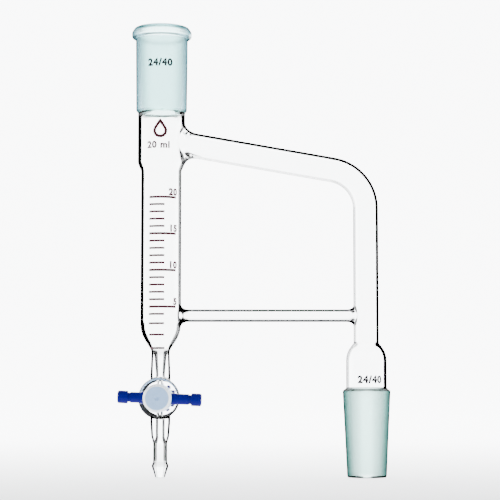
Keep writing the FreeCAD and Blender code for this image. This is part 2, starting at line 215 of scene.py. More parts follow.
class Turned:
    """A turned skin. Columns run round its axis and rows follow its outline."""

    def __init__(self, bm, outline, around, axis=Matrix.Identity(4), closed=False):
        self.bm = bm
        self.outline = outline
        self.around = around
        self.axis = axis
        rings = [
            [self.point(column, row) for column in range(around)]
            for row in range(len(outline))
        ]
        self.rows = weld_grid(bm, rings, closed)

    def point(self, column, row):
        """The place of a column and row, which may lie between two of them."""
        whole = min(max(int(math.floor(row)), 0), len(self.outline) - 2)
        radius, height = self.outline[whole].lerp(self.outline[whole + 1], row - whole)
        angle = 2 * math.pi * column / self.around
        return self.axis @ Vector((radius * math.cos(angle), radius * math.sin(angle), height))

    def row_at(self, height, section):
        """The row, between whole rows, that lies at a height within a section of rows."""
        for row in range(section[0], section[1]):
            low, high = self.outline[row].y, self.outline[row + 1].y
            if min(low, high) <= height <= max(low, high) and low != high:
                return row + (height - low) / (high - low)
        return min(section, key=lambda row: abs(self.outline[row].y - height))

    def radius_at(self, height, section):
        row = self.row_at(height, section)
        whole = min(int(row), len(self.outline) - 2)
        return self.outline[whole].lerp(self.outline[whole + 1], row - whole).x

    def port(self, section, start, frame_of, radius, foot, reach, half, spread, steps=7):
        """Opens a hole for a round tube. The tube leaves start along the first vector of
        frame_of, and its ring runs from the second towards the third. foot and reach are how
        far the weld spreads over the skin and along the tube. Returns the rings of points of
        the weld, and the hole's ring of vertices."""
        into = self.axis.inverted()
        turn = into.to_3x3()
        origin = into @ start
        way, up, across = (turn @ vector for vector in frame_of)
        half_columns, half_rows = half
        count = 4 * (half_columns + half_rows)

        def leaves(point):
            near, far = 0.0, 60.0
            for _ in range(48):
                middle = (near + far) / 2
                spot = point + way * middle
                inside = math.hypot(spot.x, spot.y) < self.radius_at(spot.z, section)
                near, far = (middle, far) if inside else (near, middle)
            return point + way * near

        centre = leaves(origin)
        centre_angle = math.atan2(centre.y, centre.x)
        host_radius = math.hypot(centre.x, centre.y)
        column = round(centre_angle / (2 * math.pi) * self.around)
        row = round(self.row_at(centre.z, section))

        targets = []
        rings = [[] for _ in range(steps + 1)]
        for index in range(count):
            angle = 2 * math.pi * index / count
            spoke = up * math.cos(angle) + across * math.sin(angle)
            corner = leaves(origin + spoke * radius)
            wide = math.atan2(corner.y, corner.x) - centre_angle
            wide = (wide + math.pi) % (2 * math.pi) - math.pi
            flat = Vector((host_radius * wide, corner.z - centre.z))
            flat = flat * (1 + foot / flat.length)
            target = Vector((
                (centre_angle + flat.x / host_radius) / (2 * math.pi) * self.around,
                self.row_at(centre.z + flat.y, section),
            ))
            targets.append(target)
            edge = into @ self.point(*target)
            east = into @ self.point(target.x + 0.2, target.y) - edge
            north = into @ self.point(target.x, target.y + 0.2) - edge
            normal = east.cross(north).normalized()
            lean = corner - edge
            lean = (lean - normal * lean.dot(normal)).normalized() * (corner - edge).length
            end = corner + way * reach
            for step, ring in enumerate(rings):
                share = step / steps
                rest = 1 - share
                spot = (
                    edge * rest ** 3
                    + (edge + lean * 0.6) * 3 * share * rest ** 2
                    + (end - way * reach * 0.6) * 3 * share ** 2 * rest
                    + end * share ** 3
                )
                ring.append(self.axis @ spot)

        walk = [(half_columns, b) for b in range(0, half_rows)]
        walk += [(a, half_rows) for a in range(half_columns, -half_columns, -1)]
        walk += [(-half_columns, b) for b in range(half_rows, -half_rows, -1)]
        walk += [(a, -half_rows) for a in range(-half_columns, half_columns)]
        walk += [(half_columns, b) for b in range(-half_rows, 0)]

        def bearing(place):
            spot = into @ self.point(column + place[0], row + place[1]) - centre
            return math.atan2(spot.dot(across), spot.dot(up))

        first = min(range(count), key=lambda index: abs(bearing(walk[index])))
        forward = bearing(walk[(first + 1) % count]) > 0
        order = [(first + index if forward else first - index) % count for index in range(count)]
        shift = [None] * count
        for target, place in zip(targets, order):
            a, b = walk[place]
            columns = (target.x - column - a + self.around / 2) % self.around - self.around / 2
            shift[place] = Vector((columns, target.y - row - b))

        hole = [self.rows[row + walk[place][1]][(column + walk[place][0]) % self.around]
                for place in order]
        inner = {
            self.rows[row + b][(column + a) % self.around]
            for a in range(-half_columns, half_columns + 1)
            for b in range(-half_rows, half_rows + 1)
        }
        faces = {face for vert in inner for face in vert.link_faces}
        gone = [face for face in faces if all(vert in inner for vert in face.verts)]

        for b in range(-spread[1], spread[1] + 1):
            for a in range(-spread[0], spread[0] + 1):
                far = max(abs(a) / half_columns, abs(b) / half_rows)
                if far < 1 - 1e-9:
                    continue
                x, y = a / far, b / far
                if x >= half_columns - 1e-9 and y >= 0:
                    place = y
                elif y >= half_rows - 1e-9:
                    place = half_rows + half_columns - x
                elif x <= 1e-9 - half_columns:
                    place = 2 * half_rows + 2 * half_columns - y
                elif y <= 1e-9 - half_rows:
                    place = 3 * half_rows + 3 * half_columns + x
                else:
                    place = count + y
                whole = int(math.floor(place + 1e-9))
                move = shift[whole % count].lerp(shift[(whole + 1) % count], place - whole)
                fade = 1 - max(
                    (abs(a) - half_columns) / (spread[0] - half_columns),
                    (abs(b) - half_rows) / (spread[1] - half_rows),
                    0,
                )
                move = move * (fade * fade * (3 - 2 * fade))
                vert = self.rows[row + b][(column + a) % self.around]
                vert.co = self.point(column + a + move.x, row + b + move.y)
        bmesh.ops.delete(self.bm, geom=gone, context="FACES")
        return rings, hole


def circle(centre, normal, radius, around, side=Vector((0, 1, 0))):
    """A ring of points round a centre, from normal towards side."""
    angles = [2 * math.pi * index / around for index in range(around)]
    return [
        centre + (normal * math.cos(angle) + side * math.sin(angle)) * radius
        for angle in angles
    ]


def piece(bm, name, body, materials, replaced=()):
    """Makes an object from a mesh built in millimetres, riding on its body."""
    bmesh.ops.remove_doubles(bm, verts=bm.verts, dist=1e-4)
    bmesh.ops.recalc_face_normals(bm, faces=bm.faces)
    bm.transform(Matrix.Scale(0.001, 4))
    mesh = bpy.data.meshes.new(name)
    bm.to_mesh(mesh)
    bm.free()
    for material in materials:
        mesh.materials.append(material)
    mesh.polygons.foreach_set("use_smooth", [True] * len(mesh.polygons))
    made = bpy.data.objects.new(name, mesh)
    bpy.context.scene.collection.objects.link(made)
    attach(made, body)
    if replaced:
        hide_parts(*replaced)
    return made


def grain_group():
    """Fine grain in the object's own space, as a mask and as a normal."""
    group = bpy.data.node_groups.new("fine_grain", "ShaderNodeTree")
    for name, kind, value in (
        ("Scale", "NodeSocketFloat", 900), ("Detail", "NodeSocketFloat", 3),
        ("Depth", "NodeSocketFloat", 0.2),
    ):
        group.interface.new_socket(name, in_out="INPUT", socket_type=kind).default_value = value
    group.interface.new_socket("Mask", in_out="OUTPUT", socket_type="NodeSocketFloat")
    group.interface.new_socket("Normal", in_out="OUTPUT", socket_type="NodeSocketVector")
    given = group.nodes.new("NodeGroupInput")
    result = group.nodes.new("NodeGroupOutput")
    place = group.nodes.new("ShaderNodeTexCoord")
    noise = group.nodes.new("ShaderNodeTexNoise")
    bump = group.nodes.new("ShaderNodeBump")
    bump.inputs["Distance"].default_value = 0.00003
    group.links.new(place.outputs["Object"], noise.inputs["Vector"])
    group.links.new(given.outputs["Scale"], noise.inputs["Scale"])
    group.links.new(given.outputs["Detail"], noise.inputs["Detail"])
    group.links.new(noise.outputs["Fac"], bump.inputs["Height"])
    group.links.new(given.outputs["Depth"], bump.inputs["Strength"])
    group.links.new(noise.outputs["Fac"], result.inputs["Mask"])
    group.links.new(bump.outputs["Normal"], result.inputs["Normal"])
    return group


fine_grain = grain_group()


def add_grain(tree, shader, scale, detail, depth, rough):
    """Puts grain in a material: its roughness runs from the first value to the second."""
    grain = tree.nodes.new("ShaderNodeGroup")
    grain.node_tree = fine_grain
    grain.inputs["Scale"].default_value = scale
    grain.inputs["Detail"].default_value = detail
    grain.inputs["Depth"].default_value = depth
    polish = tree.nodes.new("ShaderNodeMapRange")
    polish.inputs["From Min"].default_value = 0.42
    polish.inputs["From Max"].default_value = 0.72
    polish.inputs["To Min"].default_value = rough[0]
    polish.inputs["To Max"].default_value = rough[1]
    tree.links.new(grain.outputs["Mask"], polish.inputs["Value"])
    tree.links.new(polish.outputs["Result"], shader.inputs["Roughness"])
    if depth:
        tree.links.new(grain.outputs["Normal"], shader.inputs["Normal"])
    return grain


def glass_material(name, tint, rough, grain, edge, soft):
    """Borosilicate: clear, or ground to a fine matt. Its coat tint is painted shade: it darkens
    the wall where the eye looks along it, from the angle in its start attribute and by the amount
    in its edge attribute. Lamps shine through it."""
    material = bpy.data.materials.new(name)
    material.use_nodes = True
    tree = material.node_tree
    shader = tree.nodes["Principled BSDF"]
    shader.inputs["Transmission Weight"].default_value = 1.0
    shader.inputs["IOR"].default_value = 1.474
    add_grain(tree, shader, *grain, rough)
    shader.inputs["Base Color"].default_value = (*tint, 1)
    shader.inputs["Coat Weight"].default_value = 1.0
    shader.inputs["Coat IOR"].default_value = 1.0
    shader.inputs["Coat Roughness"].default_value = rough[0]
    # Painted shade: the coat tint runs from white to the edge colour where the eye looks along the
    # wall.
    facing = tree.nodes.new("ShaderNodeLayerWeight")
    facing.inputs["Blend"].default_value = 0.5
    rise = tree.nodes.new("ShaderNodeMapRange")
    rise.interpolation_type = "SMOOTHSTEP"
    start = tree.nodes.new("ShaderNodeAttribute")
    start.attribute_name = "start"
    finish = tree.nodes.new("ShaderNodeMath")
    finish.inputs[1].default_value = soft
    edge_shade = tree.nodes.new("ShaderNodeAttribute")
    edge_shade.attribute_name = "edge"
    amount = tree.nodes.new("ShaderNodeMath")
    amount.operation = "MULTIPLY"
    dark = tree.nodes.new("ShaderNodeMix")
    dark.data_type = "RGBA"
    dark.inputs["A"].default_value = (1, 1, 1, 1)
    dark.inputs["B"].default_value = (*edge, 1)
    tree.links.new(start.outputs["Fac"], rise.inputs["From Min"])
    tree.links.new(start.outputs["Fac"], finish.inputs[0])
    tree.links.new(finish.outputs["Value"], rise.inputs["From Max"])
    tree.links.new(facing.outputs["Facing"], rise.inputs["Value"])
    tree.links.new(rise.outputs["Result"], amount.inputs[0])
    tree.links.new(edge_shade.outputs["Fac"], amount.inputs[1])
    tree.links.new(amount.outputs["Value"], dark.inputs["Factor"])
    tree.links.new(dark.outputs["Result"], shader.inputs["Coat Tint"])
    path = tree.nodes.new("ShaderNodeLightPath")
    clear = tree.nodes.new("ShaderNodeBsdfTransparent")
    clear.inputs["Color"].default_value = (0.93, 0.95, 0.95, 1)
    mix = tree.nodes.new("ShaderNodeMixShader")
    tree.links.new(path.outputs["Is Shadow Ray"], mix.inputs["Fac"])
    tree.links.new(shader.outputs["BSDF"], mix.inputs[1])
    tree.links.new(clear.outputs["BSDF"], mix.inputs[2])
    tree.links.new(mix.outputs["Shader"], tree.nodes["Material Output"].inputs["Surface"])
    return material


# The edge colour of each glass is the painted shade along the edges of its walls.
clear_glass = glass_material(
    "clear_glass", (0.985, 0.995, 0.992), (0.0, 0.03), (70, 5, 0), (0.0, 0.002, 0.002), 0.07,
)
ground_glass = glass_material(
    "ground_glass", (0.36, 0.57, 0.53), (0.27, 0.36), (4200, 2, 0.3), (0.36, 0.48, 0.47), 0.5,
)
socket_glass = glass_material(
    "socket_glass", (0.72, 0.87, 0.92), (0.05, 0.12), (300, 4, 0), (0.36, 0.47, 0.49), 0.5,
)

glass = bmesh.new()
AROUND = 64
STEM, STEM_BORE = 5.0, 1.5
CONE_TOP = 43.0
UP = Vector((0, 0, 1))
RIGHT = Vector((1, 0, 0))
BACK = Vector((0, 1, 0))


# The receiver is one tube from the stopcock to the rim: a thick stem, a drawn-down foot, the
# measuring tube, a wider neck and the ground socket with its rolled bead. The outline goes up
# the outside, over the rim and down the bore.
def receiver():
    low, high = span("graduated_tube")
    axis_x = (low.x + high.x) / 2
    tube = (high.x - low.x) / 2
    seal = span("upper_stem")[0].z
    rim = span("condenser_socket")[1].z
    foot = span("condenser_socket")[0].z
    neck = (span("receiver_neck")[1].y - span("receiver_neck")[0].y) / 2
    port = (span("return_tube")[0].z + span("return_tube")[1].z) / 2
    knee = port - 8.5
    shoulder, shoulder_top = high.z + 2.0, high.z + 6.0
    foot_angle = 32
    slope = math.tan(math.radians(foot_angle))
    wall, neck_wall = 1.0, 1.35
    inner_knee = knee + wall * math.tan(math.radians(foot_angle / 2))
    stem_top, stem_bore_top = 4.5, 2.1
    bead, ground_top, ground_end, ground_length = 15.15, 12.0, 9.9, 42.0
    lead = 1.0
    corners = [
        (STEM, seal, 0),
        (stem_top, knee - (tube - stem_top) / slope, 5.0),
        (tube, knee, 15.0),
        (tube, shoulder, 2.5),
        (neck, shoulder_top, 3.0),
        (neck, foot + 0.7, 0.5),
        (12.85, foot + 1.7, 0.6),
        (13.2, rim - 5.6, 0.5),
        (bead, rim - 4.7, 1.1),
        (bead, rim - 2.2, 1.5),
        (13.7, rim, 0.9),
        (12.35, rim, 0.4),
        (ground_top, rim - lead, 0),
        (ground_end, rim - lead - ground_length, 0.15),
        (neck - neck_wall, foot - 0.2, 0.4),
        (neck - neck_wall, shoulder_top, 2.6),
        (tube - wall, shoulder, 2.6),
        (tube - wall, inner_knee, 14.0),
        (stem_bore_top, inner_knee - (tube - wall - stem_bore_top) / slope, 4.0),
        (STEM_BORE, seal, 0),
    ]
    outline = rounded_outline(corners, 1.35)
    top = max(range(len(outline)), key=lambda row: outline[row].y)
    axis = Matrix.Translation((axis_x, 0, 0))
    return Turned(glass, outline, AROUND, axis), top


receiver_skin, receiver_top = receiver()
receiver_outside = (0, receiver_top)
receiver_inside = (receiver_top, len(receiver_skin.outline) - 1)
receiver_x = receiver_skin.axis.translation.x


# The down-tube is one tube from the bend to the open end of the ground cone, with a shoulder
# where it widens. The outline goes down the outside, round the fire-polished lip and up the bore.
def down_tube():
    low, high = span("down_tube")
    tube = (high.y - low.y) / 2
    shank = (span("cone_shoulder")[1].y - span("cone_shoulder")[0].y) / 2
    shoulder = low.z - 3.7
    wall, shank_wall, mouth = 1.2, 1.45, 8.0
    corners = [
        (tube, high.z, 0),
        (tube, shoulder, 1.2),
        (shank, shoulder - 4.8, 11.0),
        (shank, CONE_TOP + 1.4, 0.8),
        (11.97, CONE_TOP, 0.35),
        (9.9, 1.0, 0.2),
        (9.7, 0, 0.55),
        (mouth, 0, 0.5),
        (mouth, 1.2, 0),
        (shank - shank_wall, CONE_TOP, 1.5),
        (shank - shank_wall, shoulder - 4.9, 9.0),
        (tube - wall, shoulder + 0.4, 1.6),
        (tube - wall, high.z, 0),
    ]
    outline = rounded_outline(corners, 1.35)
    bottom = min(range(len(outline)), key=lambda row: outline[row].y)
    return Turned(glass, outline, AROUND), bottom


down_skin, down_bottom = down_tube()
down_outside = (0, down_bottom)
down_inside = (down_bottom, len(down_skin.outline) - 1)


# The vapour arm leaves the neck at a slope and bends down into the down-tube. Its weld is broad,
# most of all under it, where it runs into the neck's shoulder.
def vapour_arm():
    slope = math.radians(10)
    bend, wall = 20.0, 1.2
    straight_steps, bend_steps = 12, 24
    way = Vector((math.cos(slope), 0, -math.sin(slope)))
    upright = Vector((math.sin(slope), 0, math.cos(slope)))
    bend_z = span("vapour_bend")[0].z
    outer = (span("vapour_bend")[1].y - span("vapour_bend")[0].y) / 2
    bend_middle = Vector((-bend, 0, bend_z))
    bend_start = bend_middle + upright * bend
    start = bend_start - way * (bend_start.x - receiver_x) / way.x
    for section, radius, foot, reach, row in (
        (receiver_outside, outer, 4.6, 6.5, 0),
        (receiver_inside, outer - wall, 1.4, 2.2, -1),
    ):
        rings, hole = receiver_skin.port(
            section, start, (way, upright, BACK), radius, foot, reach,
            half=(8, 8), spread=(20, 22),
        )
        plain = (bend_start - start).length
        first = 22.0
        for step in range(straight_steps + 1):
            centre = start + way * (first + (plain - first) * step / straight_steps)
            rings.append(circle(centre, upright, radius, AROUND))
        for step in range(1, bend_steps + 1):
            angle = slope + (math.pi / 2 - slope) * step / bend_steps
            normal = Vector((math.sin(angle), 0, math.cos(angle)))
            centre = bend_middle + normal * bend
            rings.append(circle(centre, normal, radius, AROUND))
        weld_grid(glass, rings, first=hole, last=down_skin.rows[row])
    return start, bend_start, bend_middle, outer


arm_start, arm_end, bend_middle, arm_radius = vapour_arm()


# The return tube is a thin tube between the receiver's foot and the down-tube, welded to both
# with small round fillets.
def return_tube():
    low, high = span("return_tube")
    height = (low.z + high.z) / 2
    outer = (high.z - low.z) / 2
    wall, steps = 1.1, 10
    for radius, foot, reach, left, right in (
        (outer, 2.7, 3.6, receiver_outside, down_outside),
        (outer - wall, 0.7, 1.2, receiver_inside, down_inside),
    ):
        start = Vector((receiver_x, 0, height))
        rings, hole = receiver_skin.port(
            left, start, (RIGHT, UP, BACK), radius, foot, reach, half=(4, 4), spread=(13, 12),
        )
        start = Vector((0, 0, height))
        far_rings, far_hole = down_skin.port(
            right, start, (-RIGHT, UP, BACK), radius, foot * 0.8, reach,
            half=(5, 3), spread=(18, 10),
        )
        for step in range(steps + 1):
            centre = Vector((low.x + (high.x - low.x) * step / steps, 0, height))
            rings.append(circle(centre, UP, radius, len(hole)))
        weld_grid(glass, rings + far_rings[::-1], first=hole, last=far_hole)
    return height, outer


return_z, return_radius = return_tube()


# The stopcock barrel is a stout tube across the stem, with a thick front flange and a ground
# taper bore. The two thick stems are welded on above and below it.
def stopcock_barrel():
    low, high = span("stopcock_barrel")
    top, bottom = high.z, low.z
    height = (top + bottom) / 2
    flange = (high.x - low.x) / 2
    front, back = low.y, high.y
    barrel, bore_front, taper = 9.0, 6.65, 0.1
    bore_back = bore_front - (back - front) * taper
    corners = [
        (flange, front, 0.9),
        (flange, front + 2.6, 0.7),
        (barrel, front + 3.8, 0.5),
        (barrel, back, 0.7),
        (bore_back, back, 0.3),
        (bore_front, front, 0.3),
    ]
    outline = rounded_outline(corners, 0.8, closed=True)
    turn = max(range(len(outline)), key=lambda row: outline[row].y)
    lip = min(range(turn, len(outline)), key=lambda row: outline[row].y)
    neck = max(row for row in range(turn) if outline[row].x > barrel + 0.01) + 1
    axis = Matrix.Translation((receiver_x, 0, height)) @ Matrix.Rotation(-math.pi / 2, 4, "X")
    skin = Turned(glass, outline, AROUND, axis, closed=True)
    centre = Vector((receiver_x, 0, height))
    drip = drip_tube(bottom)
    for way, end, ring_rows in ((UP, top, receiver_skin.rows), (-UP, bottom, drip.rows)):
        for section, radius, foot, reach, row in (
            ((neck, turn), STEM, 1.5, 1.9, 0),
            ((turn, lip), STEM_BORE, 0.3, 0.5, -1),
        ):
            rings, hole = skin.port(
                section, centre, (way, RIGHT, BACK), radius, foot, reach,
                half=(8, 8), spread=(14, 12),
            )
            near = max(abs(point.z - height) for point in rings[-1]) + 0.6
            far = abs(end - height)
            steps = 4
            for step in range(steps + 1):
                spot = centre + way * (near + (far - near) * step / steps)
                rings.append(circle(spot, RIGHT, radius, AROUND))
            weld_grid(glass, rings, first=hole, last=ring_rows[row])
    return centre, flange, front, back


# The drip tube is drawn down from the stem and ends in a small rounded bead. Its outline goes
# down the outside, round the mouth and up the bore.
def drip_tube(top):
    seal, bead = span("drip_tip")[1].z, 5.8
    narrow = seal + 3.4
    tube, bore, bead_radius, end, mouth = 3.5, 2.4, 4.15, 2.4, 1.5
    corners = [
        (STEM, top, 0),
        (4.5, narrow, 1.5),
        (tube, seal, 1.5),
        (tube, bead + 1.6, 0.5),
        (bead_radius, bead + 0.4, 0.4),
        (bead_radius, bead - 0.6, 0.5),
        (3.3, bead / 2, 2.0),
        (end, 0, 0.35),
        (mouth, 0, 0.3),
        (mouth, 0.6, 0.3),
        (bore, bead, 2.0),
        (bore, seal, 1.0),
        (STEM_BORE, narrow, 1.0),
        (STEM_BORE, top, 0),
    ]
    axis = Matrix.Translation((receiver_x, 0, 0))
    return Turned(glass, rounded_outline(corners, 0.9), AROUND, axis)


barrel_middle, flange_radius, barrel_front, barrel_back = stopcock_barrel()

glass_nodes = [
    "condenser_socket", "receiver_neck", "graduated_tube", "receiver_base", "upper_stem",
    "stopcock_barrel", "lower_stem", "drip_tip", "vapour_arm", "vapour_bend", "down_tube",
    "cone_shoulder", "flask_cone", "return_tube",
]
trap = piece(
    glass, "glass_body", "glass",
    [clear_glass, ground_glass, socket_glass], glass_nodes,
)
socket_foot, socket_rim = (corner.z for corner in span("condenser_socket"))
clear_lead = 1.0
for face in trap.data.polygons:
    x, y, z = face.center * 1000
    away_from_cone = math.hypot(x, y)
    away_from_receiver = math.hypot(x - receiver_x, y)
    on_cone = clear_lead < z < CONE_TOP - 0.1 and 9.3 < away_from_cone < 20
    on_socket = socket_foot + 0.2 < z < socket_rim - clear_lead - 0.1 and away_from_receiver < 12.2
    if on_cone or on_socket:
        face.material_index = 1
    elif z > socket_foot + 0.2:
        face.material_index = 2


# Painted shade darkens the edges of each tube's wall, more on the side that faces outwards than
# on the side that faces the loop. The mesh carries it as two attributes.
def edge_tones():
    stem_top, foot_top, bead_top = 62, 77, 8
    weld, bend, tube_top = 5.5, (arm_end - bend_middle).length, bend_middle.z + 0.1
    edge_shades, starts = [], []
    for vert in trap.data.vertices:
        spot = vert.co * 1000
        inner = 0.0
        low = spot - barrel_middle
        wide = math.hypot(spot.x, spot.y)
        above_return = spot.z - return_z
        beside_barrel = barrel_front - 1 < spot.y < barrel_back + 1
        if math.hypot(low.x, low.z) < flange_radius + 0.05 and beside_barrel:
            centre = Vector((receiver_x, spot.y, barrel_middle.z))
            edge_shade, start, inner = 0.7 - 0.04 * low.z, max(0.02, 0.22 + 0.02 * low.z), 0.3
        elif spot.x < receiver_x + 14:
            centre = Vector((receiver_x, 0, spot.z))
            wide = math.hypot(spot.x - receiver_x, spot.y)
            on_stem = spot.z < stem_top
            on_measure = stem_top + 4 <= spot.z <= 160
            edge_shade = 0.86 + 0.2 * (receiver_x - spot.x) / 10 if on_measure else 1.0
            start = 0.34 if on_stem else 0.36 if spot.z < foot_top else 0.44
            inner = 0.95 if on_stem else 0.0
            if on_stem and wide < 3.2:
                start = 0.22
            if spot.z < bead_top:
                edge_shade, start, inner = 0.95, 0.34, 0.3
            if abs(above_return) < weld and spot.x > receiver_x + 9.6:
                edge_shade, start, inner = 1.0, 0.14, 0.8
        elif spot.z < tube_top and spot.x > -12 and (wide < 6.4 or abs(above_return) > weld):
            centre = Vector((0, 0, spot.z))
            edge_shade = 0.74 + 0.36 * spot.x / wide
            start = 0.36 if wide < 8 else 0.44
        elif spot.z < tube_top:
            centre = Vector((spot.x, 0, return_z))
            edge_shade, start = 0.92 - 0.06 * above_return / return_radius, 0.22
        elif spot.x < arm_end.x - 1:
            centre = arm_start.lerp(arm_end, (spot.x - arm_start.x) / (arm_end.x - arm_start.x))
            edge_shade, start = 0.60 + 0.42 * (spot.z - centre.z) / arm_radius, 0.38
        else:
            ray = Vector((spot.x - bend_middle.x, 0, spot.z - bend_middle.z))
            centre = bend_middle + ray.normalized() * bend
            edge_shade, start = 0.67 + 0.40 * (ray.length - bend) / arm_radius, 0.36
        outside = (spot - centre).dot(vert.normal) > 0
        at_cone = spot.x > -20 and spot.z < CONE_TOP + 0.9
        if spot.z > socket_foot - 1 or at_cone:
            edge_shade, start, inner = 0.5, 0.08, 0.2
        if spot.z > socket_foot + 0.3:
            edge_shade, start = 0.9, 0.04
        if at_cone and spot.z < CONE_TOP + 0.1:
            edge_shade, start = 1.0, 0.02
        edge_shades.append(min(max(edge_shade, 0.0), 1.0) if outside else inner)
        starts.append(start)
    for name, values in (("edge", edge_shades), ("start", starts)):
        layer = trap.data.attributes.new(name, "FLOAT", "POINT")
        layer.data.foreach_set("value", values)


edge_tones()


# The marks are enamel, screened on the glass and fired, a few hundredths of a millimetre thick.
# They are drawn flat, cut in narrow strips and wrapped round the tube.
def enamel(name, colour, draw, radius, axis_x):
    strip, underside, thickness = 0.4, 0.02, 0.04
    flat = bmesh.new()
    draw(flat)
    left = min(vert.co.x for vert in flat.verts)
    right = max(vert.co.x for vert in flat.verts)
    cuts = int((right - left) / strip)
    for cut in range(1, cuts):
        bmesh.ops.bisect_plane(
            flat, geom=flat.verts[:] + flat.edges[:] + flat.faces[:],
            plane_co=(left + cut * (right - left) / cuts, 0, 0), plane_no=(1, 0, 0),
        )
    for vert in flat.verts:
        vert.co.z = underside
    raised = bmesh.ops.extrude_face_region(flat, geom=flat.faces[:])["geom"]
    for part in raised:
        if isinstance(part, bmesh.types.BMVert):
            part.co.z = underside + thickness
    for vert in flat.verts:
        wide, height, lift = vert.co
        size = radius(height) + lift
        angle = wide / radius(height)
        vert.co = (axis_x + size * math.sin(angle), -size * math.cos(angle), height)
    material = bpy.data.materials.new(name)
    material.use_nodes = True
    shader = material.node_tree.nodes["Principled BSDF"]
    shader.inputs["Specular IOR Level"].default_value = 0.12
    grain = add_grain(material.node_tree, shader, 2600, 2, 0.2, (0.42, 0.6))
    mottle = material.node_tree.nodes.new("ShaderNodeMix")
    mottle.data_type = "RGBA"
    mottle.inputs["A"].default_value = (*colour, 1)
    mottle.inputs["B"].default_value = (*[channel * 1.7 + 0.002 for channel in colour], 1)
    material.node_tree.links.new(grain.outputs["Mask"], mottle.inputs["Factor"])
    material.node_tree.links.new(mottle.outputs["Result"], shader.inputs["Base Color"])
    made = piece(flat, name, "glass", [material])
    made.data.polygons.foreach_set("use_smooth", [False] * len(made.data.polygons))
    return made


def bar(bm, left, right, height, thick):
    verts = bmesh.ops.create_grid(bm, x_segments=1, y_segments=1, size=0.5)["verts"]
    for vert in verts:
        vert.co.x = left + (vert.co.x + 0.5) * (right - left)
        vert.co.y = height + vert.co.y * thick


def letters(bm, text, end, foot, tall, heavy, side=min):
    """Plain lettering on a foot line, with its left or right end at end and figures tall high."""
    curve = bpy.data.curves.new("lettering", "FONT")
    curve.body = text
    figure_share = 0.7
    curve.size = tall / figure_share
    curve.offset = heavy * tall
    curve.space_character = 1.14
    curve.resolution_u = 6
    holder = bpy.data.objects.new("lettering", curve)
    bpy.context.scene.collection.objects.link(holder)
    bpy.context.view_layer.update()
    mesh = bpy.data.meshes.new_from_object(holder)
    bpy.data.objects.remove(holder)
    bpy.data.curves.remove(curve)
    start = len(bm.verts)
    bm.from_mesh(mesh)
    bm.verts.ensure_lookup_table()
    added = bm.verts[start:]
    edge = side(vert.co.x for vert in added)
    for vert in added:
        vert.co.x += end - edge
        vert.co.y += foot
    bpy.data.meshes.remove(mesh)


maroon = (0.028, 0.003, 0.006)
black = (0.002, 0.002, 0.003)


# The receiver's scale has a stroke for each millilitre, long ones at every fifth with its number.
# They are evenly spaced on the straight bore and further apart where it narrows to the foot.
def scale_marks(bm):
    level, gap, widening = 139.7, 3.66, 0.97
    left, short_end, long_end = -5.7, 2.3, 8.8
    fine, bold = 1.05, 1.2
    for volume in range(20, 0, -1):
        if volume % 5 == 0:
            bar(bm, left, long_end, level, bold)
            letters(bm, str(volume), long_end + 0.7, level + 1.1, 3.2, 0.085, side=max)
        else:
            bar(bm, left, short_end, level, fine)
        level -= gap + widening * max(0, 5 - volume)


def receiver_radius(height):
    return receiver_skin.radius_at(height, receiver_outside)


enamel("receiver_scale", maroon, scale_marks, receiver_radius, receiver_x)


# The neck carries a plain drop outline with the capacity under it, both in the scale's maroon
# enamel.
def capacity_mark(bm):
    drop, middle, tip, line = 3.6, 172.9, 2.4, 1.5
    verts = bmesh.ops.create_circle(bm, cap_ends=True, radius=drop, segments=48)["verts"]
    for vert in verts:
        point = max(vert.co.y / drop, 0) ** 3
        vert.co.x *= 1 - 0.55 * point
        vert.co.y += middle + tip * point
    face = verts[0].link_faces[0]
    bm.normal_update()
    bmesh.ops.inset_individual(bm, faces=[face], thickness=line)
    bmesh.ops.delete(bm, geom=[face], context="FACES_ONLY")
    letters(bm, "20 ml", -6.8, 164.3, 3.2, 0.074)


enamel("capacity_mark", maroon, capacity_mark, receiver_radius, receiver_x)


# Both ground joints are marked in black enamel with their diameter and length in millimetres, one
# on the socket's wall and the other on the clear shank above the cone.
def socket_label(bm):
    letters(bm, "24/40", -6.4, 205.7, 3.4, 0.075)


def cone_label(bm):
    letters(bm, "24/40", -5.2, 47.0, 3.4, 0.08)


def shank_radius(height):
    return down_skin.radius_at(height, down_outside)


enamel("socket_label", black, socket_label, receiver_radius, receiver_x)
enamel("cone_label", black, cone_label, shank_radius, 0.0)


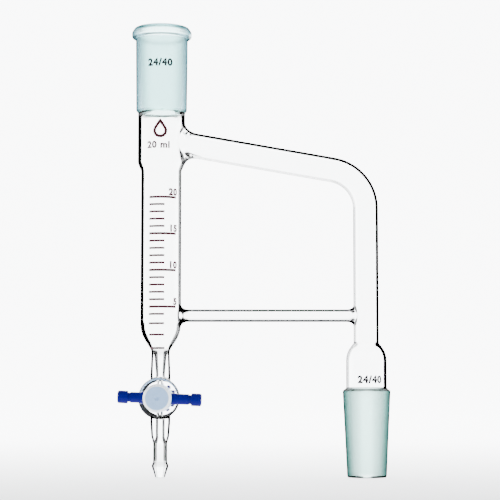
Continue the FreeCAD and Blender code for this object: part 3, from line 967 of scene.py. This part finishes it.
# The stopcock's moving parts are turned PTFE, moulded blue plastic and a rubber ring. Each of the
# materials has a fine mottle and grain of its own.
def plastic(name, colour, rough, shine, waxy, grain, rings):
    material = bpy.data.materials.new(name)
    material.use_nodes = True
    tree = material.node_tree
    shader = tree.nodes["Principled BSDF"]
    shader.inputs["Specular IOR Level"].default_value = shine
    shader.inputs["Subsurface Weight"].default_value = waxy
    shader.inputs["Subsurface Radius"].default_value = (1.0, 1.0, 1.0)
    shader.inputs["Subsurface Scale"].default_value = 0.0015
    bump = add_grain(tree, shader, 900, 4, grain, (rough - 0.07, rough + 0.07))
    mottle = tree.nodes.new("ShaderNodeMix")
    mottle.data_type = "RGBA"
    mottle.inputs["A"].default_value = (*[channel * 0.88 for channel in colour], 1)
    mottle.inputs["B"].default_value = (*colour, 1)
    tree.links.new(bump.outputs["Mask"], mottle.inputs["Factor"])
    tree.links.new(mottle.outputs["Result"], shader.inputs["Base Color"])
    if rings:
        place = tree.nodes.new("ShaderNodeTexCoord")
        shift = tree.nodes.new("ShaderNodeMapping")
        shift.inputs["Location"].default_value = -barrel_middle / 1000
        wave = tree.nodes.new("ShaderNodeTexWave")
        wave.wave_type = "RINGS"
        wave.rings_direction = "Y"
        wave.inputs["Scale"].default_value = rings
        lathe_marks = tree.nodes.new("ShaderNodeBump")
        lathe_marks.inputs["Strength"].default_value = 0.25
        lathe_marks.inputs["Distance"].default_value = 0.00002
        tree.links.new(place.outputs["Object"], shift.inputs["Vector"])
        tree.links.new(shift.outputs["Vector"], wave.inputs["Vector"])
        tree.links.new(wave.outputs["Fac"], lathe_marks.inputs["Height"])
        tree.links.new(bump.outputs["Normal"], lathe_marks.inputs["Normal"])
        tree.links.new(lathe_marks.outputs["Normal"], shader.inputs["Normal"])
    return material


ptfe = plastic("ptfe_white", (0.30, 0.47, 0.72), 0.45, 0.4, 0.3, 0.25, 500)
# The head's chamfer gets a lighter copy of the PTFE, a painted highlight round its rim.
rim_highlight = plastic("ptfe_rim_highlight", (0.86, 0.91, 0.96), 0.3, 0.5, 0.3, 0.1, 500)
blue = plastic("blue_plastic", (0.002, 0.0002, 0.115), 0.35, 0.06, 0.0, 0.2, 0)
rubber = plastic("black_rubber", (0.012, 0.012, 0.013), 0.65, 0.3, 0.0, 0.5, 0)
rest_tilt = math.radians(2.3)
stopcock = Matrix.Translation(barrel_middle) @ Matrix.Rotation(rest_tilt, 4, "Y")
bar_way = (stopcock.to_3x3() @ RIGHT).normalized()
bar_up = (stopcock.to_3x3() @ UP).normalized()


# The plug is turned from one PTFE rod: a grip head with a dimple, a long taper that seals in the
# barrel, and a threaded end with two flats. It is drilled across for the liquid and the handle.
def stopcock_plug():
    low, high = span("stopcock_plug")
    front, back = low.y, high.y
    head = (high.x - low.x) / 2
    head_back = barrel_front - 1.2
    key_front, key_back, key_end = 6.72, 3.96, back - 15.1
    thread, pitch, thread_depth, flat = 3.25, 1.25, 0.42, 2.6
    chamfer, step_length = 1.0, 0.2
    outline = rounded_outline([
        (0, front + 0.5, 0),
        (0.65, front + 0.5, 0.2),
        (1.3, front, 0.25),
        (head - chamfer, front, 0.5),
        (head, front + chamfer, 0.5),
        (head, head_back, 0.12),
        (key_front, head_back, 0.05),
        (key_back, key_end, 0.3),
        (thread, key_end, 0),
    ], 0.8)
    thread_row = len(outline)
    steps = int((back - 0.7 - key_end) / step_length)
    outline += [Vector((thread, key_end + step_length * step)) for step in range(1, steps + 1)]
    outline += rounded_outline([(thread - 0.7, back, 0), (0, back, 0)], 0.8)
    bm = bmesh.new()
    skin = Turned(bm, outline, AROUND, stopcock @ Matrix.Rotation(-math.pi / 2, 4, "X"))
    into = skin.axis.inverted()
    for row in range(thread_row, thread_row + steps):
        for vert in skin.rows[row]:
            spot = into @ vert.co
            around = math.atan2(spot.y, spot.x) / (2 * math.pi)
            groove = abs((spot.z / pitch - around) % 1 - 0.5) * 2
            size = 1 - thread_depth * groove / thread
            spot.x = min(max(spot.x * size, -flat), flat)
            spot.y *= size
            vert.co = skin.axis @ spot
    head_rows = (
        next(row for row, point in enumerate(outline) if point.x > head - 0.01),
        max(row for row, point in enumerate(outline) if point.x > head - 0.01),
    )
    key_rows = (head_rows[1] + 2, thread_row - 4)
    bar_y = (span("plug_handle")[0].y + span("plug_handle")[1].y) / 2
    rim = 0.3
    for section, depth, radius, spread in (
        (key_rows, 0, STEM_BORE, (10, 9)), (head_rows, bar_y, 2.68, (9, 8)),
    ):
        sides = []
        for way in (bar_way, -bar_way):
            start = barrel_middle + BACK * depth
            sides.append(skin.port(
                section, start, (way, bar_up, BACK), radius, rim, -rim, half=(4, 4), spread=spread,
            ))
        (right, right_hole), (left, left_hole) = sides
        weld_grid(bm, right + left[::-1], first=right_hole, last=left_hole)
    plug = piece(bm, "plug", "plug", [ptfe, rim_highlight], ["stopcock_plug"])
    into = skin.axis.inverted()
    # Faces on the head's chamfer take the lighter PTFE, a painted highlight.
    for face in plug.data.polygons:
        spot = into @ (face.center * 1000)
        wide = math.hypot(spot.x, spot.y)
        if spot.z < front + chamfer + 0.15 and wide > head - chamfer - 0.25:
            face.material_index = 1


stopcock_plug()


# The handle is a moulded bar pushed through the head. Each side has a flare against the head and
# a knob with a groove behind it, and a fine parting line runs along it.
def plug_handle():
    low, high = span("plug_handle")
    margin = 0.14
    left, right = receiver_x - low.x - margin, high.x - receiver_x - margin
    depth = (low.y + high.y) / 2
    shaft, flare, groove, knob = 2.65, 3.1, 2.3, 3.15
    dimple, dimple_depth, parting_line = 1.6, 0.3, 0.05

    def side(length):
        return [
            (shaft, 7.0, 0.1),
            (flare, 7.0, 0.2),
            (shaft, 9.6, 1.5),
            (shaft, length - 6.3, 0.15),
            (groove, length - 6.3, 0.2),
            (groove, length - 5.1, 0.2),
            (knob, length - 5.1, 0.35),
            (knob, length, 1.0),
            (dimple, length, 0.25),
            (dimple - 0.3, length - dimple_depth, 0.15),
            (0, length - dimple_depth, 0),
        ]

    corners = [(radius, -height, rounding) for radius, height, rounding in side(left)[::-1]]
    outline = rounded_outline(corners + side(right), 0.7)
    turn = Matrix.Translation((0, depth, 0)) @ stopcock @ Matrix.Rotation(math.pi / 2, 4, "Y")
    bm = bmesh.new()
    skin = Turned(bm, outline, AROUND, turn)
    for row in skin.rows:
        for column in (AROUND // 4, AROUND * 3 // 4):
            spot = turn.inverted() @ row[column].co
            if abs(spot.y) > 0.1:
                spot.y += math.copysign(parting_line, spot.y)
            row[column].co = turn @ spot
    piece(bm, "handle", "plug", [blue], ["plug_handle"])


plug_handle()


# The nut behind the barrel draws the plug into its taper. It is moulded, with flutes round it for
# the fingers.
def tension_nut():
    low, high = span("tension_nut")
    outer, bore = (high.x - low.x) / 2, 3.3
    flutes, flute_radius = 12, 1.1
    corners = [
        (outer, low.y, 0.8),
        (outer, high.y, 0.8),
        (bore, high.y, 0.35),
        (bore, low.y, 0.35),
    ]
    turn = stopcock @ Matrix.Rotation(-math.pi / 2, 4, "X")
    bm = bmesh.new()
    outline = rounded_outline(corners, 0.7, closed=True)
    skin = Turned(bm, outline, 12 * flutes, turn, closed=True)
    for row in skin.rows:
        for vert in row:
            spot = turn.inverted() @ vert.co
            radius = math.hypot(spot.x, spot.y)
            share = math.atan2(spot.y, spot.x) / (2 * math.pi) * flutes % 1 - 0.5
            away = abs(share) / flutes * 2 * math.pi * outer
            deep = math.sqrt(max(flute_radius ** 2 - away ** 2, 0)) if radius > bore + 0.7 else 0
            limit = outer - deep
            if radius > limit:
                spot.x *= limit / radius
                spot.y *= limit / radius
            vert.co = turn @ spot
    piece(bm, "nut", "nut", [blue], ["tension_nut"])


tension_nut()


# A PTFE washer keyed to the plug's flats and a rubber ring take the nut's pull. They are plain
# turned and moulded rings between the barrel and the nut.
for node, material in (("tension_washer", ptfe), ("tension_oring", rubber)):
    solid = bpy.data.objects[node]
    solid.data.materials.clear()
    solid.data.materials.append(material)
